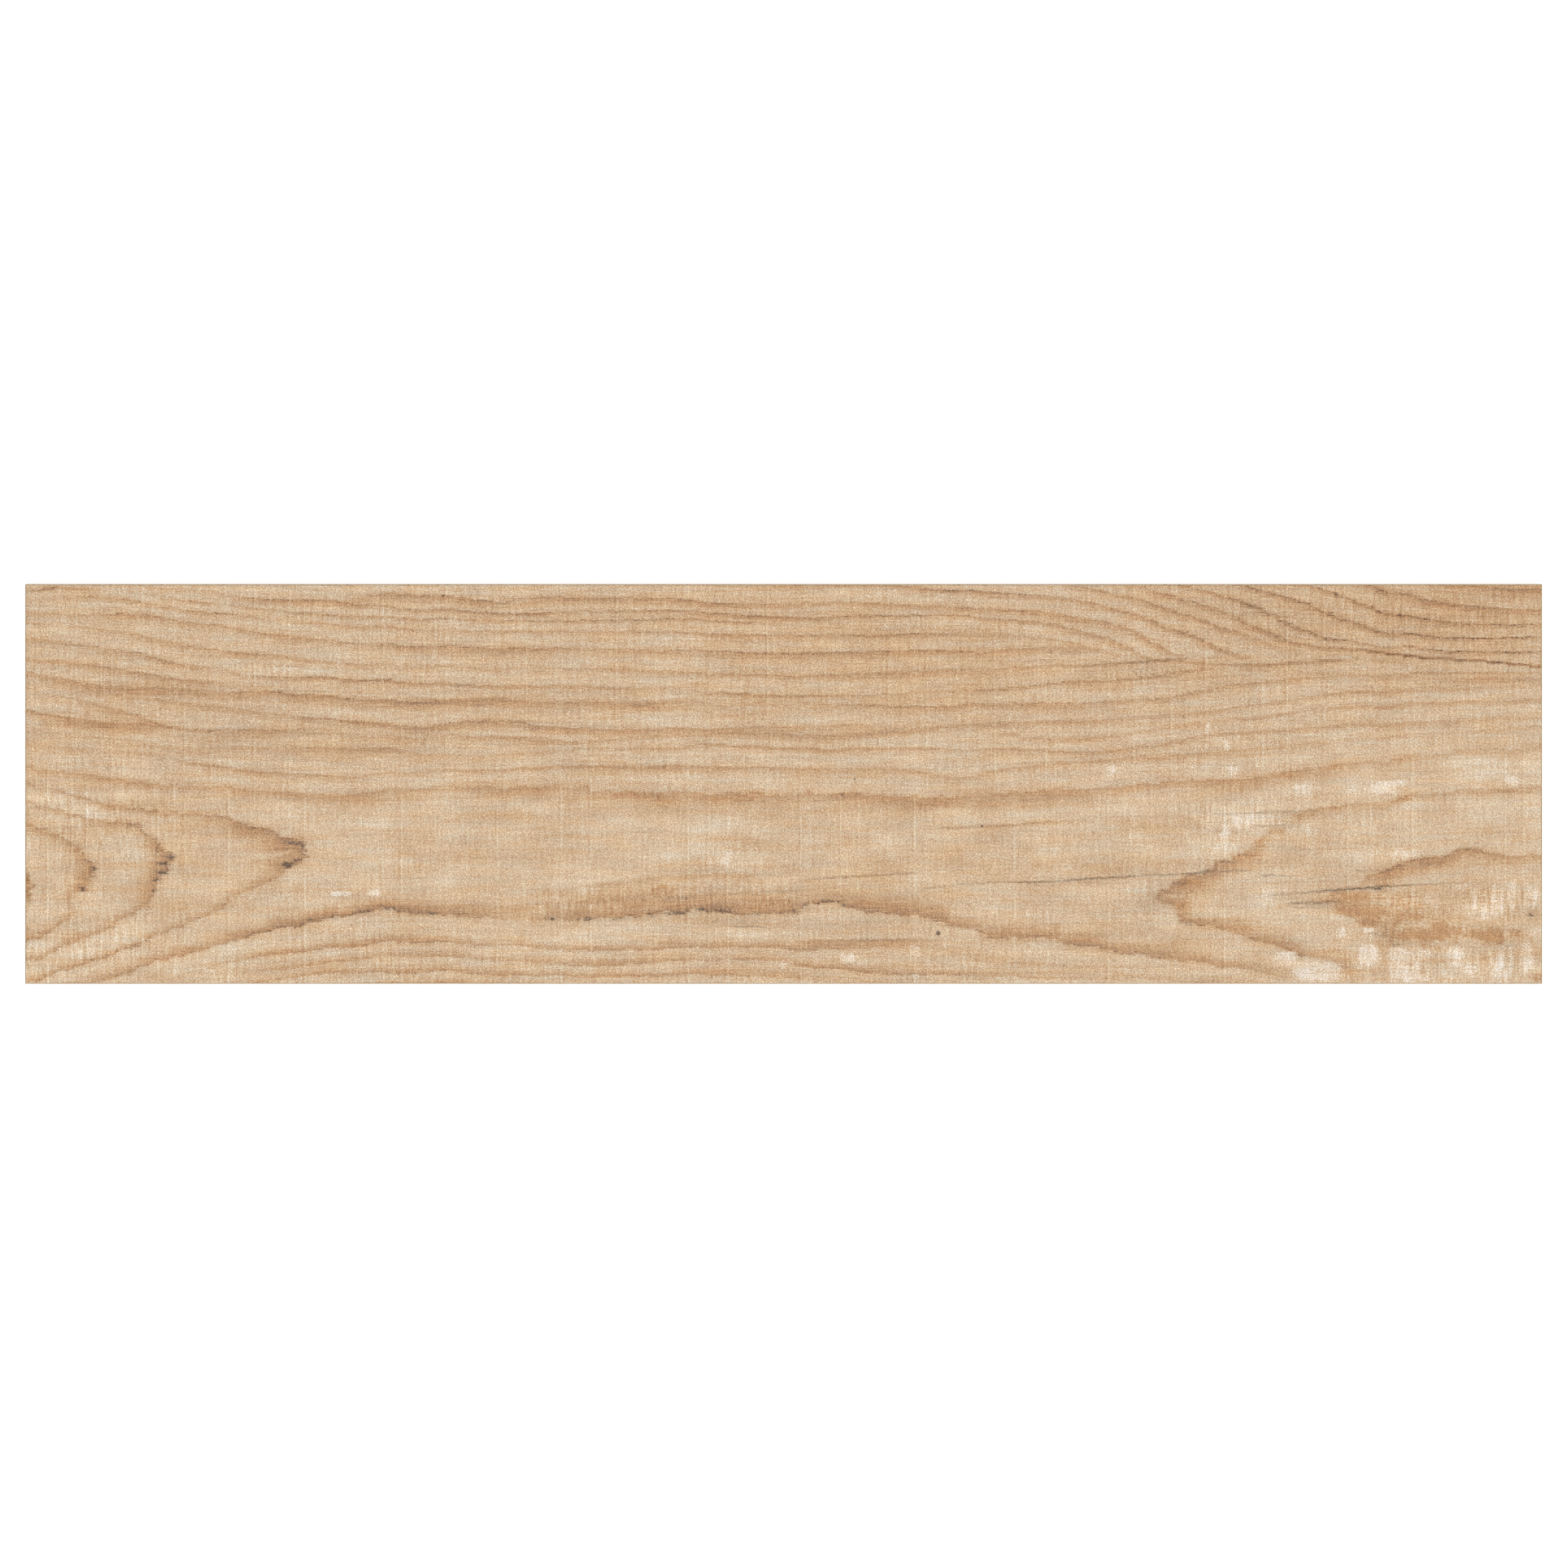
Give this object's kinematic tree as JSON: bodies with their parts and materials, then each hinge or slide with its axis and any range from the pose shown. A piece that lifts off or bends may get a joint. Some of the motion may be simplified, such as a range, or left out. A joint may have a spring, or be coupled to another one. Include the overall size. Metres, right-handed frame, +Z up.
{
  "type": "wood look porcelain plank tile",
  "caption": "Long rectangular porcelain plank tile with a wood grain printed and embossed wear face, ground square edges and a back pressed with shallow keying cells.",
  "frame": {"origin": "middle of the back's bearing plane, the plane that meets the bed", "axes": "+X along the plank's length and its grain, +Y across its width, +Z up out of the printed wear face"},
  "size_m": [0.85, 0.224, 0.0095],
  "materials": {
    "printed_porcelain": "matt wood grain print under a fine textured glaze on the wear face; bare fired body on the ground edges and the back"
  },
  "bodies": {
    "root": {"porcelain_plank": "printed_porcelain"}
  },
  "joints": []
}
